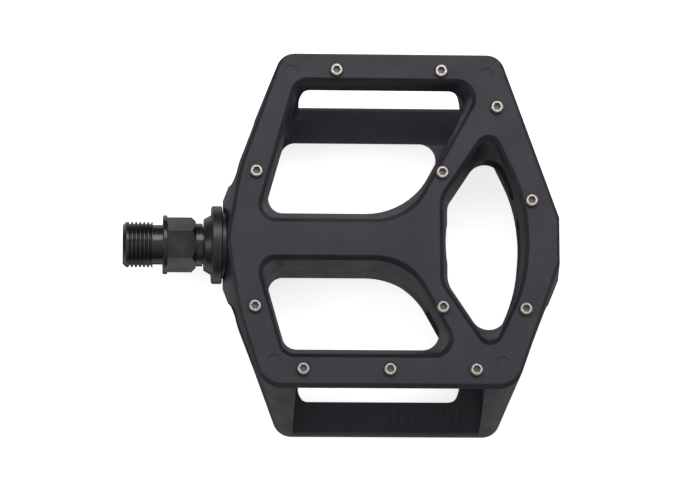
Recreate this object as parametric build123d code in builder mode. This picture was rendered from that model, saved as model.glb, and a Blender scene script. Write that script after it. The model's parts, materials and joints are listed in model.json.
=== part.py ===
from build123d import *
import math
import os

# Right-hand flat platform pedal, millimetres.
# X runs along the spindle: the crank thread points to -X, the platform lies towards +X.
# The origin is on the spindle axis, in the face of the flange that meets the crank arm.
# Turning the pedal half a turn about the spindle brings it back onto itself.

# ---- spindle ----
THREAD_R = 7.144          # 9/16 in thread, major radius
THREAD_PITCH = 1.27       # 20 threads per inch
THREAD_DEPTH = 0.72
THREAD_END = -12.6
THREAD_START = -3.2
THREAD_CHAMFER = 1.1
CREST_W = THREAD_PITCH * 0.16
RELIEF_R = 6.25
FLANGE_R = 9.25
FLANGE_W = 1.4
HEX_AF = 15.0             # across flats, for a 15 mm pedal wrench
HEX_END = 10.3
NECK_R = 6.75
NECK_END = 12.4
SEAL_SEAT_R = 6.0
EDGE_BREAK = 0.2          # small chamfers of turned parts
CENTRE_R = 1.8            # lathe centre in the thread end
SHAFT_R = 5.0
TAIL_R = 3.4
TAIL_END = 81.0
TAIL_CHAMFER = 0.6

# ---- bearings ----
IN_X = 23.6               # plane of the inboard ball row
IN_PITCH_R = 7.8
IN_BALL_R = 1.5875        # 1/8 in balls
IN_BALLS = 14
OUT_X = 69.0              # plane of the outboard ball row
OUT_PITCH_R = 5.6
OUT_BALL_R = 1.19         # 3/32 in balls
OUT_BALLS = 13
RACE_GAP = 0.32           # running gap between a ball and its groove
IN_CUP_R = 10.6
OUT_CUP_R = 8.0
CUP_HALF = 3.0            # half width of each cup
CONE_END = OUT_X + 4.2
WASHER_R = 6.0
WASHER_W = 1.0
NUT_AF = 11.0
NUT_W = 4.2

# ---- seal, collar and end cap ----
SEAL_R = 9.5
SEAL_END = 15.2
COLLAR_R = 12.25
COLLAR_END = 18.5
CAP_IN = 83.0
CAP_RIM = 86.4
CAP_END = 88.3
GROOVE_IN = 83.8          # O-ring groove of the end cap
GROOVE_OUT = 85.4
GROOVE_DEPTH = 1.5
O_RING_R = 0.68           # radius of its section
CAP_HEX_AF = 5.0

# ---- platform casting ----
HALF_H = 14.0             # half thickness between the two shoe faces
END_IN = 18.8             # inboard and outboard end planes at mid height
END_OUT = 124.7
TIP_IN = 20.0             # the ends of the shoe face narrow to these points
TIP_OUT = 123.8
LONG_Y = 59.5             # far edge of a shoe face
SHORT_Y = 46.4            # near edge of a shoe face
MID_Y = (LONG_Y + SHORT_Y) / 2
BAR_H = 9.0               # depth of the front and rear bars under a shoe face
SLOT_Z = HALF_H - BAR_H   # half height of the openings between the two frames
LONG_LIP_Z = 11.7         # the outer lip of a long bar ends at this height
SHORT_LIP_Z = 13.0        # and that of a short bar at this one
SPINE_TOP = 6.15          # half width of the spine at the shoe face
SPINE_MID = 10.35         # and at mid height
RIM = 1.0                 # bevel along the rims of the shoe faces
POST_IN = 41.2            # the front and rear openings run between the corner posts
POST_OUT = 100.2
SLOT_IN = 42.6            # ends of the slots behind the bars
SLOT_OUT = 93.6
BORE_R = 7.0

# ---- grip pins ----
PIN_R = 2.05
PIN_STAND = 1.5           # height above the shoe face
PIN_DEPTH = 3.0
PIN_SOCKET_AF = 2.2
PIN_SOCKET_DEPTH = 1.8
PIN_CHAMFER = 0.4
MARK_R = 2.1              # shallow round casting marks in the shoe faces
MARK_DEPTH = 0.2

os.makedirs("parts", exist_ok=True)


def spine_y(z):
    """Half width of the spine at height z."""
    return SPINE_MID + (SPINE_TOP - SPINE_MID) * abs(z) / HALF_H


def draft(z, mid):
    """Inward lean of a window wall: zero at a shoe face, mid between the two frames."""
    return mid * min(1, (HALF_H - abs(z)) / BAR_H)


# ------------------------------------------------------------------ spindle
with BuildPart() as spindle:
    with BuildSketch(Plane.XY):
        with BuildLine():
            Polyline(
                (THREAD_END, 0),
                (THREAD_END, THREAD_R - THREAD_CHAMFER),
                (THREAD_END + THREAD_CHAMFER, THREAD_R),
                (THREAD_START, THREAD_R),
                (THREAD_START, RELIEF_R),
                (0, RELIEF_R),
                (0, FLANGE_R - EDGE_BREAK),
                (EDGE_BREAK, FLANGE_R),
                (FLANGE_W - EDGE_BREAK, FLANGE_R),
                (FLANGE_W, FLANGE_R - EDGE_BREAK),
                (FLANGE_W, NECK_R),
                (NECK_END, NECK_R),
                (NECK_END, SEAL_SEAT_R),
                (IN_X - 3.6, SEAL_SEAT_R),
                (IN_X - 3.2, IN_PITCH_R - 0.9),
                (IN_X + 3.0, IN_PITCH_R - 0.9),
                (IN_X + 4.5, SHAFT_R),
                (OUT_X - 4.4, SHAFT_R),
                (OUT_X - 3.2, TAIL_R),
                (TAIL_END - TAIL_CHAMFER, TAIL_R),
                (TAIL_END, TAIL_R - TAIL_CHAMFER),
                (TAIL_END, 0),
                close=True,
            )
        make_face()
    revolve(axis=Axis.X)
    # wrench hex with turned-off corners
    with BuildSketch(Plane.YZ.offset(FLANGE_W)):
        RegularPolygon(HEX_AF / 2, 6, major_radius=False, rotation=8)
    extrude(amount=HEX_END - FLANGE_W)
    with BuildSketch(Plane.XY):
        with BuildLine():
            Polyline(
                (HEX_END - 1.6, HEX_AF * 0.6),
                (HEX_END + 0.2, HEX_AF * 0.5 - 0.3),
                (HEX_END + 0.2, HEX_AF * 0.6),
                close=True,
            )
        make_face()
    revolve(axis=Axis.X, mode=Mode.SUBTRACT)
    # ball groove of the inboard row
    with BuildSketch(Plane.XY):
        with Locations((IN_X, IN_PITCH_R)):
            Circle(IN_BALL_R + RACE_GAP)
    revolve(axis=Axis.X, mode=Mode.SUBTRACT)
    # crank thread: one groove per pitch, leaving narrow round crests
    turns = int((THREAD_START - THREAD_END - 1.4) / THREAD_PITCH)
    with BuildSketch(Plane.XY):
        for turn in range(turns):
            x = THREAD_START - 0.75 - turn * THREAD_PITCH
            half = THREAD_PITCH / 2 - CREST_W
            with BuildLine():
                Polyline(
                    (x - half, THREAD_R + 0.01),
                    (x - 0.1, THREAD_R - THREAD_DEPTH),
                    (x + 0.1, THREAD_R - THREAD_DEPTH),
                    (x + half, THREAD_R + 0.01),
                    close=True,
                )
            make_face()
    revolve(axis=Axis.X, mode=Mode.SUBTRACT)
    # lathe centre in the thread end
    with BuildSketch(Plane.XY):
        with BuildLine():
            Polyline(
                (THREAD_END, 0), (THREAD_END, CENTRE_R), (THREAD_END + CENTRE_R, 0), close=True
            )
        make_face()
    revolve(axis=Axis.X, mode=Mode.SUBTRACT)

spindle.part.label = "spindle"
export_step(spindle.part, "parts/spindle.step")

# ------------------------------------------------------------------ seal and collar
with BuildPart() as inboard_seal:
    with BuildSketch(Plane.XY):
        with BuildLine():
            Polyline(
                (NECK_END + 0.4, SEAL_SEAT_R + 0.35),
                (NECK_END + 0.4, 8.0),
                (NECK_END + 0.7, 8.3),
                (SEAL_END, SEAL_R),
                (SEAL_END, SEAL_SEAT_R + 0.35),
                close=True,
            )
        make_face()
    revolve(axis=Axis.X)

inboard_seal.part.label = "inboard_seal"
export_step(inboard_seal.part, "parts/inboard_seal.step")

with BuildPart() as dust_collar:
    with BuildSketch(Plane.XY):
        with BuildLine():
            Polyline(
                (SEAL_END, SEAL_SEAT_R + 0.6),
                (SEAL_END, COLLAR_R - 0.4),
                (SEAL_END + 0.4, COLLAR_R),
                (COLLAR_END - 0.3, COLLAR_R),
                (COLLAR_END, COLLAR_R - 0.3),
                (COLLAR_END, IN_CUP_R - 0.02),
                (IN_X - CUP_HALF, IN_CUP_R - 0.02),
                (IN_X - CUP_HALF, IN_CUP_R - 1.4),
                (IN_X - CUP_HALF - 1.2, IN_CUP_R - 1.4),
                (IN_X - CUP_HALF - 1.2, SEAL_SEAT_R + 0.6),
                close=True,
            )
        make_face()
    revolve(axis=Axis.X)

dust_collar.part.label = "dust_collar"
export_step(dust_collar.part, "parts/dust_collar.step")

# ------------------------------------------------------------------ bearings
with BuildPart() as inboard_cup:
    with BuildSketch(Plane.XY):
        with BuildLine():
            Polyline(
                (IN_X - CUP_HALF, IN_PITCH_R + 0.8),
                (IN_X - CUP_HALF, IN_CUP_R),
                (IN_X + CUP_HALF, IN_CUP_R),
                (IN_X + CUP_HALF, IN_PITCH_R + 0.8),
                close=True,
            )
        make_face()
        with Locations((IN_X, IN_PITCH_R)):
            Circle(IN_BALL_R + RACE_GAP, mode=Mode.SUBTRACT)
    revolve(axis=Axis.X)

inboard_cup.part.label = "inboard_cup"
export_step(inboard_cup.part, "parts/inboard_cup.step")

with BuildPart() as inboard_ball_ring:
    with BuildSketch(Plane.XY):
        with Locations((IN_X, IN_PITCH_R)):
            Rectangle(1.9, 0.7)
    revolve(axis=Axis.X)
    for n in range(IN_BALLS):
        a = 2 * math.pi * n / IN_BALLS
        with Locations((IN_X, IN_PITCH_R * math.cos(a), IN_PITCH_R * math.sin(a))):
            Sphere(IN_BALL_R)

inboard_ball_ring.part.label = "inboard_ball_ring"
export_step(inboard_ball_ring.part, "parts/inboard_ball_ring.step")

with BuildPart() as outboard_cup:
    with BuildSketch(Plane.XY):
        with BuildLine():
            Polyline(
                (OUT_X - CUP_HALF, OUT_PITCH_R + 0.6),
                (OUT_X - CUP_HALF, OUT_CUP_R),
                (OUT_X + CUP_HALF, OUT_CUP_R),
                (OUT_X + CUP_HALF, OUT_PITCH_R + 0.6),
                close=True,
            )
        make_face()
        with Locations((OUT_X, OUT_PITCH_R)):
            Circle(OUT_BALL_R + RACE_GAP, mode=Mode.SUBTRACT)
    revolve(axis=Axis.X)

outboard_cup.part.label = "outboard_cup"
export_step(outboard_cup.part, "parts/outboard_cup.step")

with BuildPart() as outboard_ball_ring:
    with BuildSketch(Plane.XY):
        with Locations((OUT_X, OUT_PITCH_R)):
            Rectangle(1.5, 0.5)
    revolve(axis=Axis.X)
    for n in range(OUT_BALLS):
        a = 2 * math.pi * n / OUT_BALLS
        with Locations((OUT_X, OUT_PITCH_R * math.cos(a), OUT_PITCH_R * math.sin(a))):
            Sphere(OUT_BALL_R)

outboard_ball_ring.part.label = "outboard_ball_ring"
export_step(outboard_ball_ring.part, "parts/outboard_ball_ring.step")

with BuildPart() as outboard_cone:
    with BuildSketch(Plane.XY):
        with BuildLine():
            Polyline(
                (OUT_X - CUP_HALF, TAIL_R),
                (OUT_X - CUP_HALF, OUT_PITCH_R - 0.6),
                (CONE_END - 0.6, OUT_PITCH_R - 0.6),
                (CONE_END, OUT_PITCH_R - 1.2),
                (CONE_END, TAIL_R),
                close=True,
            )
        make_face()
        with Locations((OUT_X, OUT_PITCH_R)):
            Circle(OUT_BALL_R + RACE_GAP, mode=Mode.SUBTRACT)
    revolve(axis=Axis.X)

outboard_cone.part.label = "outboard_cone"
export_step(outboard_cone.part, "parts/outboard_cone.step")

with BuildPart() as lock_washer:
    with BuildSketch(Plane.YZ.offset(CONE_END)):
        Circle(WASHER_R)
        Circle(TAIL_R, mode=Mode.SUBTRACT)
    extrude(amount=WASHER_W)

lock_washer.part.label = "lock_washer"
export_step(lock_washer.part, "parts/lock_washer.step")

nut_end = CONE_END + WASHER_W + NUT_W
with BuildPart() as lock_nut:
    with BuildSketch(Plane.YZ.offset(CONE_END + WASHER_W)):
        RegularPolygon(NUT_AF / 2, 6, major_radius=False)
        Circle(TAIL_R, mode=Mode.SUBTRACT)
    extrude(amount=NUT_W)
    # turned-off corners
    with BuildSketch(Plane.XY):
        with BuildLine():
            Polyline(
                (nut_end - 0.8, NUT_AF / 2 + 1.5),
                (nut_end + 0.2, NUT_AF / 2 - 0.2),
                (nut_end + 0.2, NUT_AF / 2 + 1.5),
                close=True,
            )
        make_face()
    revolve(axis=Axis.X, mode=Mode.SUBTRACT)

lock_nut.part.label = "lock_nut"
export_step(lock_nut.part, "parts/lock_nut.step")

# ------------------------------------------------------------------ end cap
with BuildPart() as end_cap:
    with BuildSketch(Plane.XY):
        with BuildLine():
            Polyline(
                (CAP_IN, 0),
                (CAP_IN, OUT_CUP_R),
                (GROOVE_IN, OUT_CUP_R),
                (GROOVE_IN, OUT_CUP_R - GROOVE_DEPTH),
                (GROOVE_OUT, OUT_CUP_R - GROOVE_DEPTH),
                (GROOVE_OUT, OUT_CUP_R),
                (CAP_RIM, OUT_CUP_R),
            )
            ThreePointArc((CAP_RIM, OUT_CUP_R), (CAP_END - 0.5, 4.6), (CAP_END, 0))
            Line((CAP_END, 0), (CAP_IN, 0))
        make_face()
    revolve(axis=Axis.X)
    # driver recess in the outer face
    with BuildSketch(Plane.YZ.offset(CAP_RIM + 0.3)):
        RegularPolygon(CAP_HEX_AF / 2, 6, major_radius=False)
    extrude(amount=3, mode=Mode.SUBTRACT)

end_cap.part.label = "end_cap"
export_step(end_cap.part, "parts/end_cap.step")

with BuildPart() as end_cap_o_ring:
    with BuildSketch(Plane.XY):
        with Locations(((GROOVE_IN + GROOVE_OUT) / 2, OUT_CUP_R - 0.8)):
            Circle(O_RING_R)
    revolve(axis=Axis.X)

end_cap_o_ring.part.label = "end_cap_o_ring"
export_step(end_cap_o_ring.part, "parts/end_cap_o_ring.step")

# ------------------------------------------------------------------ platform casting
# grip pins of the upper face, front to back pairs; the lower face repeats them half a turn on
pin_points = (
    (54.0, 53.6),
    (86.9, 53.6),
    (104.4, 42.2),
    (115.1, 12.5),
    (113.0, -21.8),
    (97.4, -41.0),
    (70.5, -41.0),
    (43.5, -41.0),
    (28.5, -21.4),
    (28.9, 21.2),
    (87.1, 21.2),
    (87.1, -21.4),
)
mark_points = ((39.8, 53.0), (101.4, 52.6), (34.5, -38.6), (105.6, -38.9))

# Corners of the casting from one end of the spindle round to the other: in a shoe face
# past its long edge, in a shoe face past its short edge, and at mid height.
long_side = ((TIP_IN, 1.0), (23.7, 22.5), (37.0, LONG_Y), (105.3, LONG_Y), (TIP_OUT, 7.0))
short_side = ((TIP_IN, 1.0), (23.4, 22.5), (30.9, SHORT_Y), (110.1, SHORT_Y), (TIP_OUT, 7.0))
mid_side = ((END_IN, 14.0), (23.3, 26.0), (33.9, MID_Y), (107.4, MID_Y), (END_OUT, 10.6))
CORNER_R = 7.0
CORNER_SPREAD = 1.2       # added in a short side's corners, taken off in a long side's
BOW_R = 60.0              # the inboard edges bow outwards on this radius


def outline(z):
    """Corners of the casting at height z, from the inboard end along the front and back."""
    share = abs(z) / HALF_H
    front, rear = (short_side, long_side) if z > 0 else (long_side, short_side)

    def side_at(face_side):
        return [
            (mx + (fx - mx) * share, my + (fy - my) * share)
            for (mx, my), (fx, fy) in zip(mid_side, face_side)
        ]

    ahead = [(x, -y) for x, y in side_at(front)]
    behind = side_at(rear)
    return ahead + behind[::-1]


# Inner faces of the front and rear bars: distance from the spindle axis at the shoe face,
# at the edge of the slot behind the bar, and at mid height.
LONG_BAR_IN = (50.2, 48.8, 41.4)
SHORT_BAR_IN = (36.5, 33.7, 41.4)
WALL_X = 27.2             # inboard wall of a big window, where it would meet the spindle axis
WALL_SLANT = 0.284        # its X run for each millimetre of Y
FLANK_X = 76.2            # outboard flank, where it meets the spine in a shoe face
FLANK_SLANT = 0.556


def big_window(z, side):
    """Corners of a big window at height z; side is +1 for the rear one, -1 for the front."""
    bar_in = LONG_BAR_IN if (z > 0) == (side > 0) else SHORT_BAR_IN
    far = bar_in[0 if abs(z) == HALF_H else 1 if z else 2]
    near = spine_y(z)
    wall = WALL_X + draft(z, 1.6)
    flank = FLANK_X + (near - SPINE_TOP) * FLANK_SLANT - draft(z, 1.4)
    return (
        (wall + WALL_SLANT * near, side * near),
        (flank, side * near),
        (flank + (far - near) * FLANK_SLANT, side * far),
        (wall + WALL_SLANT * far, side * far),
    )


def big_radii(z):
    """Corner radii of a big window at height z."""
    return (4.5, 17 + draft(z, 6), 5.2, 4.5)


def eye_window(z):
    """Corners of the outboard window at height z."""
    inner_x = 87.1 + draft(z, 2.2)
    inner_y = 13.4 - draft(z, 0.9)
    tip_x = 102.2 + draft(z, 1.1)
    tip_y = 35.6 - draft(z, 2.0)
    lean = draft(z, 1.0)
    return (
        (inner_x, inner_y),
        (inner_x, -inner_y),
        (tip_x, -tip_y),
        (112.3 - lean, -14.5),
        (113.6 - lean, 0),
        (112.3 - lean, 14.5),
        (tip_x, tip_y),
    )


def eye_radii(z):
    """Corner radii of the outboard window at height z."""
    tip = 3.2 + draft(z, 2.6)
    return (8, 8, tip, 45, 50, 45, tip)


def round_corners(section, points, radii):
    """Round the named corners of a sketch, each to its own radius."""
    for point, radius in zip(points, radii):
        fillet(section.vertices().sort_by_distance(Vector(*point))[0], radius)


def window_face(section, points, radii, grow=0.0):
    """Face of a window with rounded corners, grown all round by grow."""
    Polygon(*points, align=None)
    round_corners(section, points, radii)
    if grow:
        offset(amount=grow)


levels = (-HALF_H, -SLOT_Z, 0, SLOT_Z, HALF_H)
CLEAR_Y = 71.0            # past the front and rear of the casting
SLOT_Y = 31.0             # the front and rear slots are cut outwards from here
SLOPE_IN_Y = 33.5         # the sloping outer face of a short bar, from its slot to its lip
SLOPE_OUT_Y = 46.1
UNDER_IN_Y = 48.3         # the sloping underside of a long bar, from its slot to its lip
UNDER_OUT_Y = 57.7
TUNNEL = ((80, 21), (96, 19), (99, 23), (SLOT_OUT, 34), (84, 34))
SIDE_SLOTS = ((27.5, 28.2, 199, 22.5), (113.5, 25.6, -19, 18.5))   # X, Y, heading, length
SIDE_SLOT_REACH = 11.0
END_SLOT_W = 19.0
END_SLOT_REACH = 16.0
BORE_END = 92.0
BARS = 9                  # row of raised bars under each long bar
BARS_X = 81.8
BARS_PITCH = 2.9
BARS_SIZE = (1.3, 4.6)
BARS_STAND = 0.35

with BuildPart() as pedal_body:
    # crowned outer shape: a fuller outline at mid height, bevelled at both shoe faces
    for z in (-HALF_H, RIM - HALF_H, 0, HALF_H - RIM, HALF_H):
        corners = outline(z)
        front_r = CORNER_R + CORNER_SPREAD * z / HALF_H
        rear_r = CORNER_R - CORNER_SPREAD * z / HALF_H
        with BuildSketch(Plane.XY.offset(z)) as section:
            Polygon(*corners, align=None)
            rounded = corners[1:4] + corners[6:9]
            round_corners(section, rounded, (BOW_R, front_r, front_r, rear_r, rear_r, BOW_R))
            if abs(z) == HALF_H:
                offset(amount=-RIM)
    loft(ruled=True)
    # the two big windows, narrowing towards mid height
    for side in (1, -1):
        for lower, upper in zip(levels[:-1], levels[1:]):
            for z in (lower, upper):
                with BuildSketch(Plane.XY.offset(z)) as section:
                    window_face(section, big_window(z, side), big_radii(z))
            loft(ruled=True, mode=Mode.SUBTRACT)
    # the eye-shaped window at the outboard end
    for lower, upper in ((-HALF_H, -SLOT_Z), (-SLOT_Z, SLOT_Z), (SLOT_Z, HALF_H)):
        for z in (lower, upper):
            with BuildSketch(Plane.XY.offset(z)) as section:
                window_face(section, eye_window(z), eye_radii(z))
        loft(ruled=True, mode=Mode.SUBTRACT)
    # bevelled rims of the windows
    for face in (1, -1):
        z = face * HALF_H
        for points, radii in (
            (big_window(z, 1), big_radii(z)),
            (big_window(z, -1), big_radii(z)),
            (eye_window(z), eye_radii(z)),
        ):
            for step in (-2 * RIM, RIM):
                with BuildSketch(Plane.XY.offset(z + face * step)) as section:
                    window_face(section, points, radii, grow=step + RIM)
            loft(ruled=True, mode=Mode.SUBTRACT)
    # flared openings in the front and rear walls, between the corner posts
    for side in (1, -1):
        with BuildSketch(Plane.YZ.offset(POST_IN)):
            with BuildLine():
                Polyline(
                    (side * CLEAR_Y, -side * SHORT_LIP_Z),
                    (side * SLOPE_OUT_Y, -side * SHORT_LIP_Z),
                    (side * SLOPE_IN_Y, -side * SLOT_Z),
                    (side * UNDER_IN_Y, side * SLOT_Z),
                    (side * UNDER_OUT_Y, side * LONG_LIP_Z),
                    (side * CLEAR_Y, side * LONG_LIP_Z),
                    close=True,
                )
            make_face()
        extrude(amount=POST_OUT - POST_IN, mode=Mode.SUBTRACT)
        with BuildSketch(Plane.XZ.offset(-side * SLOT_Y)):
            with Locations(((SLOT_IN + SLOT_OUT) / 2, 0)):
                RectangleRounded(SLOT_OUT - SLOT_IN, 2 * SLOT_Z, 2)
        extrude(amount=-side * (CLEAR_Y - SLOT_Y), mode=Mode.SUBTRACT)
        # opening under the arm, from the big window into the outboard one
        with BuildSketch(Plane.XY.offset(-SLOT_Z)):
            Polygon(*[(x, side * y) for x, y in TUNNEL], align=None)
        extrude(amount=2 * SLOT_Z, mode=Mode.SUBTRACT)
        # side openings in the slanted walls
        for x, y, angle, length in SIDE_SLOTS:
            out = (math.cos(math.radians(angle)), -side * math.sin(math.radians(angle)), 0)
            along = (-out[1], out[0], 0)
            wall = Plane(origin=(x, side * y, 0), x_dir=along, z_dir=out)
            with BuildSketch(wall):
                SlotOverall(length, 2 * SLOT_Z)
            extrude(amount=SIDE_SLOT_REACH, both=True, mode=Mode.SUBTRACT)
    # opening in the outboard end
    with BuildSketch(Plane.YZ.offset(END_OUT - END_SLOT_REACH)):
        SlotOverall(END_SLOT_W, 2 * SLOT_Z)
    extrude(amount=2 * END_SLOT_REACH, mode=Mode.SUBTRACT)
    # stepped bore for the spindle and its bearings
    with BuildSketch(Plane.XY):
        with BuildLine():
            Polyline(
                (END_IN - 2, 0),
                (END_IN - 2, IN_CUP_R),
                (IN_X + CUP_HALF, IN_CUP_R),
                (IN_X + CUP_HALF, BORE_R),
                (OUT_X - CUP_HALF, BORE_R),
                (OUT_X - CUP_HALF, OUT_CUP_R),
                (BORE_END, OUT_CUP_R),
                (BORE_END, 0),
                close=True,
            )
        make_face()
    revolve(axis=Axis.X, mode=Mode.SUBTRACT)
    # raised bars on the sloping underside of the long bars
    for side in (1, -1):
        run = UNDER_OUT_Y - UNDER_IN_Y
        rise = LONG_LIP_Z - SLOT_Z
        slope = Plane(
            origin=(BARS_X, side * (UNDER_IN_Y + run / 2), side * (SLOT_Z + rise / 2)),
            x_dir=(1, 0, 0),
            z_dir=(0, side * rise, -side * run),
        )
        with BuildSketch(slope):
            with GridLocations(BARS_PITCH, 1, BARS, 1):
                Rectangle(*BARS_SIZE)
        extrude(amount=BARS_STAND)
    # threaded seats for the grip pins and shallow round casting marks
    for side in (1, -1):
        with Locations(*[(x, side * y, side * HALF_H) for x, y in pin_points]):
            Cylinder(PIN_R, 2 * PIN_DEPTH, mode=Mode.SUBTRACT)
        with Locations(*[(x, side * y, side * HALF_H) for x, y in mark_points]):
            Cylinder(MARK_R, 2 * MARK_DEPTH, mode=Mode.SUBTRACT)

pedal_body.part.label = "pedal_body"
export_step(pedal_body.part, "parts/pedal_body.step")

# ------------------------------------------------------------------ grip pins
for face, side in (("top", 1), ("bottom", -1)):
    for number, (x, y) in enumerate(pin_points, start=1):
        with BuildPart() as pin:
            with BuildSketch(Plane.XY.offset(side * (HALF_H - PIN_DEPTH))):
                with Locations((x, side * y)):
                    Circle(PIN_R)
            extrude(amount=side * (PIN_DEPTH + PIN_STAND))
            tip = pin.faces().sort_by(Axis.Z)[-1 if side > 0 else 0]
            chamfer(tip.edges(), PIN_CHAMFER)
            with BuildSketch(Plane.XY.offset(side * (HALF_H + PIN_STAND))):
                with Locations((x, side * y)):
                    RegularPolygon(PIN_SOCKET_AF / 2, 6, major_radius=False)
            extrude(amount=-side * PIN_SOCKET_DEPTH, mode=Mode.SUBTRACT)
        pin.part.label = f"{face}_pin_{number:02d}"
        export_step(pin.part, f"parts/{face}_pin_{number:02d}.step")
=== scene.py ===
import json
import math

import bmesh
import bpy
from mathutils import Matrix, Vector


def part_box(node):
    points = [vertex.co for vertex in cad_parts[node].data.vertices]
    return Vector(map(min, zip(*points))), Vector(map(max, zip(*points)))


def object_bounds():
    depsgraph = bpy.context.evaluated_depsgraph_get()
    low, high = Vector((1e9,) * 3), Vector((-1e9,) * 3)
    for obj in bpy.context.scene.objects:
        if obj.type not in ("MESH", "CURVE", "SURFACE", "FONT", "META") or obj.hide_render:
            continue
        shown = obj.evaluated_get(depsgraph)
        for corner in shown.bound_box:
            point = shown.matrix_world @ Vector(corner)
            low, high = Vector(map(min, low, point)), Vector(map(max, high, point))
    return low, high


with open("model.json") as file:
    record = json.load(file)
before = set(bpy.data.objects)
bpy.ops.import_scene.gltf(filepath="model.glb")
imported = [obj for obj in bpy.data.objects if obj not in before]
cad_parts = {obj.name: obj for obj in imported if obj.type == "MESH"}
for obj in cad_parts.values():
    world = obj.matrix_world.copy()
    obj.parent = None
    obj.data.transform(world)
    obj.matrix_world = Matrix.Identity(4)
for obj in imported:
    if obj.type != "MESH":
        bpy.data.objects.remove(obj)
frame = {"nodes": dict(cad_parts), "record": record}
cad_low, cad_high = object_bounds()
MM = 0.001
BEVEL_SAMPLES = 6

# ---------------------------------------------------------------- node helpers


class Nodes:
    """A material's node tree, with short calls for the nodes this model uses."""

    def __init__(self, name):
        self.material = bpy.data.materials.new(name)
        self.material.use_nodes = True
        self.tree = self.material.node_tree
        self.tree.nodes.clear()
        self.shader = self.add("ShaderNodeBsdfPrincipled")
        output = self.add("ShaderNodeOutputMaterial")
        self.link(self.shader.outputs["BSDF"], output.inputs["Surface"])
        self.where = self.add("ShaderNodeTexCoord").outputs["Object"]

    def add(self, kind, **settings):
        node = self.tree.nodes.new(kind)
        for key, value in settings.items():
            setattr(node, key, value)
        return node

    def link(self, source, target):
        self.tree.links.new(source, target)

    def put(self, value, socket):
        """Link a socket, or set a plain number or colour."""
        if isinstance(value, bpy.types.NodeSocket):
            self.link(value, socket)
        else:
            socket.default_value = value

    def math(self, operation, a, b=0.0):
        node = self.add("ShaderNodeMath", operation=operation)
        self.put(a, node.inputs[0])
        self.put(b, node.inputs[1])
        return node.outputs[0]

    def noise(self, size, detail=2.0, rough=0.5, stretch=None):
        """Noise whose blobs are about size metres across; stretch scales its axes."""
        node = self.add("ShaderNodeTexNoise")
        where = self.where
        if stretch:
            mapping = self.add("ShaderNodeMapping")
            mapping.inputs["Scale"].default_value = stretch
            self.link(where, mapping.inputs["Vector"])
            where = mapping.outputs["Vector"]
        self.link(where, node.inputs["Vector"])
        node.inputs["Scale"].default_value = 1.0 / size
        node.inputs["Detail"].default_value = detail
        node.inputs["Roughness"].default_value = rough
        return node.outputs["Fac"]

    def spread(self, value, from_low, from_high, to_low=0.0, to_high=1.0):
        """Map a range of values smoothly onto another, held at both ends."""
        node = self.add("ShaderNodeMapRange", interpolation_type="SMOOTHSTEP")
        self.put(value, node.inputs["Value"])
        node.inputs["From Min"].default_value = from_low
        node.inputs["From Max"].default_value = from_high
        node.inputs["To Min"].default_value = to_low
        node.inputs["To Max"].default_value = to_high
        return node.outputs["Result"]

    def blend(self, share, first, second):
        """Mix two colours; share 0 gives the first and 1 the second."""
        node = self.add("ShaderNodeMix", data_type="RGBA")
        self.put(share, node.inputs["Factor"])
        self.put(first, node.inputs["A"])
        self.put(second, node.inputs["B"])
        return node.outputs["Result"]

    def edges(self, radius):
        """1 along convex and concave edges, 0 on open faces."""
        bevel = self.add("ShaderNodeBevel", samples=BEVEL_SAMPLES)
        bevel.inputs["Radius"].default_value = radius
        dot = self.add("ShaderNodeVectorMath", operation="DOT_PRODUCT")
        self.link(bevel.outputs["Normal"], dot.inputs[0])
        self.link(self.add("ShaderNodeNewGeometry").outputs["Normal"], dot.inputs[1])
        return self.spread(self.math("SUBTRACT", 1.0, dot.outputs["Value"]), 0.01, 0.2)

    def relief(self, layers, edge_radius):
        """Bump from (height, strength, depth) layers over softly rounded edges."""
        bevel = self.add("ShaderNodeBevel", samples=BEVEL_SAMPLES)
        bevel.inputs["Radius"].default_value = edge_radius
        normal = bevel.outputs["Normal"]
        for height, strength, depth in layers:
            bump = self.add("ShaderNodeBump")
            bump.inputs["Strength"].default_value = strength
            bump.inputs["Distance"].default_value = depth
            self.link(height, bump.inputs["Height"])
            self.link(normal, bump.inputs["Normal"])
            normal = bump.outputs["Normal"]
        self.link(normal, self.shader.inputs["Normal"])

    def finish(self, **sockets):
        for name, value in sockets.items():
            self.put(value, self.shader.inputs[name.replace("_", " ")])
        return self.material


def grey(level, blue=0.0):
    return (level, level, level + blue, 1.0)


# ---------------------------------------------------------------- materials
# colours are linear red, green, blue and alpha
RUST = (0.13, 0.075, 0.045, 1.0)
PIN_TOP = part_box("top_pin_01")[1][2]


def cast_black():
    """Satin black paint over a die casting: fine grain, orange peel, rubbed edges with a
    painted highlight along the rims.
    """
    n = Nodes("cast_black")
    dark, light = (0.0118, 0.0117, 0.0180, 1), (0.0178, 0.0175, 0.0262, 1)
    # the rubbed tone on the edges is partly worn paint and partly a painted highlight
    # along the rims
    dust, rubbed = (0.05, 0.05, 0.055, 1), (0.095, 0.095, 0.104, 1)
    cloud = n.noise(14 * MM, detail=3)
    peel = n.noise(1.5 * MM, detail=2)
    grain = n.noise(0.32 * MM, detail=2, rough=0.6)
    speck = n.spread(n.noise(0.5 * MM, detail=1), 0.69, 0.76)
    edge = n.edges(0.5 * MM)
    scuff = n.spread(n.noise(3.0 * MM, detail=4, rough=0.65), 0.42, 0.7)
    tone = n.blend(n.spread(cloud, 0.3, 0.7), dark, light)
    tone = n.blend(n.math("MULTIPLY", speck, 0.3), tone, dust)
    # edges are lightened towards the rubbed tone, for worn paint and as a painted rim
    # highlight
    worn = n.math("MULTIPLY", edge, n.math("ADD", n.math("MULTIPLY", scuff, 0.5), 0.22))
    tone = n.blend(worn, tone, rubbed)
    n.relief(((peel, 0.30, 0.05 * MM), (grain, 0.55, 0.02 * MM)), 0.40 * MM)
    rough = n.spread(n.noise(5.0 * MM, detail=3), 0.25, 0.75, 0.40, 0.52)
    return n.finish(Base_Color=tone, Roughness=rough, Specular_IOR_Level=0.5, IOR=1.5)


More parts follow.
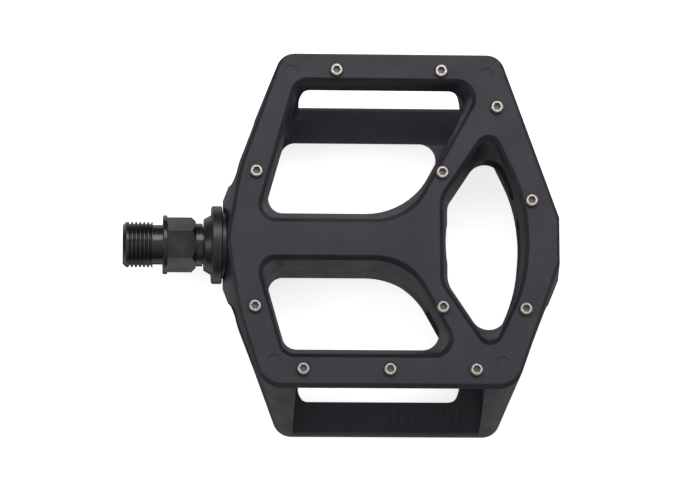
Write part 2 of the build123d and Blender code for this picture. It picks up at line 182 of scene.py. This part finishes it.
def black_oxide():
    """Turned and ground steel, blackened: lathe rings round X, pale bloom, bare edges."""
    n = Nodes("black_oxide_steel")
    dark, light = (0.046, 0.046, 0.050, 1), (0.078, 0.076, 0.078, 1)
    bare = (0.21, 0.205, 0.20, 1)
    rings = n.noise(1.2 * MM, detail=3, stretch=(9.0, 0.35, 0.35))
    bloom = n.noise(7.0 * MM, detail=2)
    edge = n.edges(0.35 * MM)
    tone = n.blend(n.spread(bloom, 0.35, 0.7), dark, light)
    worn = n.math("MULTIPLY", edge, n.spread(n.noise(0.9 * MM), 0.3, 0.75, 0.12, 0.6))
    tone = n.blend(worn, tone, bare)
    rough = n.spread(rings, 0.3, 0.7, 0.15, 0.27)
    n.relief(((rings, 0.18, 0.02 * MM), (n.noise(0.3 * MM), 0.08, 0.01 * MM)), 0.2 * MM)
    return n.finish(Base_Color=tone, Roughness=rough, Metallic=0.85)


def collar_black():
    """Black anodised collar, a little glossier than the casting, with turning rings."""
    n = Nodes("collar_black")
    dark, light = (0.008, 0.008, 0.010, 1), (0.014, 0.014, 0.017, 1)
    rubbed = (0.09, 0.09, 0.095, 1)
    rings = n.noise(0.8 * MM, detail=2, stretch=(8.0, 0.4, 0.4))
    edge = n.edges(0.3 * MM)
    tone = n.blend(n.spread(n.noise(6 * MM), 0.35, 0.65), dark, light)
    tone = n.blend(n.math("MULTIPLY", edge, 0.35), tone, rubbed)
    n.relief(((rings, 0.12, 0.02 * MM),), 0.2 * MM)
    rough = n.spread(rings, 0.3, 0.7, 0.30, 0.42)
    return n.finish(Base_Color=tone, Roughness=rough, Specular_IOR_Level=0.6)


def rubber(name, low, high, rough):
    """Moulded rubber or plastic between two greys, glossier as rough falls."""
    n = Nodes(name)
    bloom = n.spread(n.noise(2.5 * MM, detail=4, rough=0.6), 0.4, 0.72)
    tone = n.blend(bloom, grey(low), grey(high, 0.002))
    n.relief(((n.noise(0.25 * MM, detail=3), 0.25, 0.02 * MM),), 0.15 * MM)
    gloss = n.spread(n.noise(1.8 * MM), 0.3, 0.7, rough - 0.07, rough + 0.07)
    return n.finish(Base_Color=tone, Roughness=gloss)


def bright_steel(name, low, high, tint, rough, stretch, stain=0.0):
    """Bare steel with fine tool marks; a stain browns patches, and the pins turn brown
    below their tops, in the sockets.
    """
    n = Nodes(name)
    marks = n.noise(0.5 * MM, detail=3, stretch=stretch)
    bloom = n.spread(n.noise(1.1 * MM, detail=3), 0.35, 0.7)
    tone = n.blend(
        bloom,
        (low * tint[0], low * tint[1], low * tint[2], 1),
        (high * tint[0], high * tint[1], high * tint[2], 1),
    )
    if stain:
        patch = n.spread(n.noise(0.8 * MM, detail=4), 0.45, 0.75, 0.0, stain)
        tone = n.blend(patch, tone, RUST)
        # with a stain, the pins go brown below their tops, the sockets included
        axes = n.add("ShaderNodeSeparateXYZ")
        n.link(n.where, axes.inputs["Vector"])
        height = n.math("ABSOLUTE", axes.outputs["Z"])
        below = n.spread(height, PIN_TOP - 0.7 * MM, PIN_TOP - 0.25 * MM, 1.0, 0.0)
        tone = n.blend(n.math("MULTIPLY", below, 0.85), tone, RUST)
    n.relief(((marks, 0.15, 0.02 * MM),), 0.12 * MM)
    gloss = n.spread(marks, 0.3, 0.7, rough - 0.06, rough + 0.08)
    return n.finish(Base_Color=tone, Roughness=gloss, Metallic=1.0)


materials = {
    "cast_black": cast_black(),
    "black_oxide_steel": black_oxide(),
    "collar_black": collar_black(),
    "seal_rubber": rubber("seal_rubber", 0.010, 0.018, 0.30),
    "cap_plastic": rubber("cap_plastic", 0.013, 0.026, 0.45),
    "bearing_steel": bright_steel(
        "bearing_steel", 0.42, 0.55, (1, 1, 1.01), 0.26, (8.0, 0.5, 0.5)
    ),
    "ball_steel": bright_steel("ball_steel", 0.62, 0.74, (1, 1, 1.01), 0.14, (1, 1, 1)),
    "zinc_steel": bright_steel("zinc_steel", 0.48, 0.6, (0.98, 1, 1.02), 0.34, (5, 1, 1)),
    "pin_steel": bright_steel(
        "pin_steel", 0.58, 0.74, (1, 0.965, 0.92), 0.30, (1, 1, 1), stain=0.30
    ),
}

for part in frame["record"]["subparts"]:
    node = frame["nodes"][part["node"]]
    node.data.materials.clear()
    node.data.materials.append(materials[part["material_slot"]])

# ---------------------------------------------------------------- floor
FLOOR_HALF = 3.0
FLOOR_GAP = 0.02 * MM             # air under the lower pins
PAPER_GLOW = 0.75
mesh = bpy.data.meshes.new("floor")
build = bmesh.new()
bmesh.ops.create_grid(build, x_segments=8, y_segments=8, size=FLOOR_HALF)
build.to_mesh(mesh)
build.free()
floor = bpy.data.objects.new("floor", mesh)
floor.location.z = cad_low.z - FLOOR_GAP
bpy.context.scene.collection.objects.link(floor)
paper = Nodes("white_paper")
paper_tone = paper.blend(paper.noise(0.25, detail=2), grey(0.86), grey(0.88))
floor.data.materials.append(
    paper.finish(
        Base_Color=paper_tone,
        Roughness=0.9,
        Emission_Color=grey(1.0),
        Emission_Strength=PAPER_GLOW,
    )
)
# the camera sees the paper, but it neither lights the pedal nor shows in its gloss
floor.visible_glossy = False
floor.visible_diffuse = False

# ---------------------------------------------------------------- light
SOFTBOX_COLOUR = (0.95, 0.96, 1.0)


def softbox(name, place, aim, size, watts):
    light = bpy.data.lights.new(name, "AREA")
    light.shape = "RECTANGLE"
    light.size, light.size_y = size
    light.energy = watts
    light.color = SOFTBOX_COLOUR
    lamp = bpy.data.objects.new(name, light)
    lamp.location = place
    lamp.rotation_mode = "QUATERNION"
    towards = Vector(aim) - Vector(place)
    lamp.rotation_quaternion = towards.to_track_quat("-Z", "Y")
    bpy.context.scene.collection.objects.link(lamp)


centre = (cad_low + cad_high) / 2
softbox("softbox_rear", (0.1, 0.75, 1.15), centre, (1.1, 0.7), 7.5)
softbox("softbox_left", (-0.9, -0.1, 0.9), centre, (0.6, 1.0), 3.5)
softbox("softbox_right", (1.0, 0.1, 0.7), centre, (0.5, 0.9), 2.5)

world = bpy.data.worlds.new("studio")
world.use_nodes = True
tree = world.node_tree
background = tree.nodes["Background"]
direction = tree.nodes.new("ShaderNodeTexCoord")
height = tree.nodes.new("ShaderNodeSeparateXYZ")
share = tree.nodes.new("ShaderNodeMapRange")
share.inputs["From Min"].default_value = -1.0
ramp = tree.nodes.new("ShaderNodeValToRGB")
tree.links.new(direction.outputs["Generated"], height.inputs["Vector"])
tree.links.new(height.outputs["Z"], share.inputs["Value"])
tree.links.new(share.outputs["Result"], ramp.inputs["Fac"])
tree.links.new(ramp.outputs["Color"], background.inputs["Color"])
# brightness from straight down (0) past the horizon (0.5) to straight up (1); the
# bright band below the horizon stands in for what the paper would throw at the walls
BELOW, ABOVE = 0.02, 0.55
BANDS = ((0.04, BELOW), (0.13, 0.75), (0.34, 0.75), (0.45, 0.09), (0.58, 0.10))
stops = ramp.color_ramp.elements
stops[0].position, stops[0].color = 0.0, grey(BELOW)
stops[1].position, stops[1].color = 1.0, grey(ABOVE)
for position, level in BANDS:
    stops.new(position).color = grey(level)
background.inputs["Strength"].default_value = 1.0
bpy.context.scene.world = world
bpy.context.scene.view_settings.view_transform = "Standard"

# ---------------------------------------------------------------- camera
ELEVATION = math.radians(80.5)
SIDE_LEAN = math.radians(3.3)     # the pedal stands a little to the right of the lens axis
ROLL = math.radians(0.42)
DISTANCE = 1.3
LENS, SENSOR = 217.8, 36.0        # millimetres
NEAR, FAR = 0.05, 50.0
AIM = Vector((0.0561, 0.0, 0.0))  # the point in the middle of the picture
back = Vector((-math.sin(SIDE_LEAN), -math.cos(ELEVATION), 0))
back.z = math.sqrt(1 - back.length_squared)
right = (Vector((1, 0, 0)) - back * back.x).normalized()
right = Matrix.Rotation(ROLL, 3, back) @ right
camera = bpy.data.objects.new("camera", bpy.data.cameras.new("camera"))
camera.data.lens = LENS
camera.data.sensor_width = SENSOR
camera.data.clip_start, camera.data.clip_end = NEAR, FAR
turn = Matrix((right, back.cross(right), back)).transposed().to_4x4()
camera.matrix_world = Matrix.Translation(AIM + back * DISTANCE) @ turn
bpy.context.scene.collection.objects.link(camera)
bpy.context.scene.camera = camera
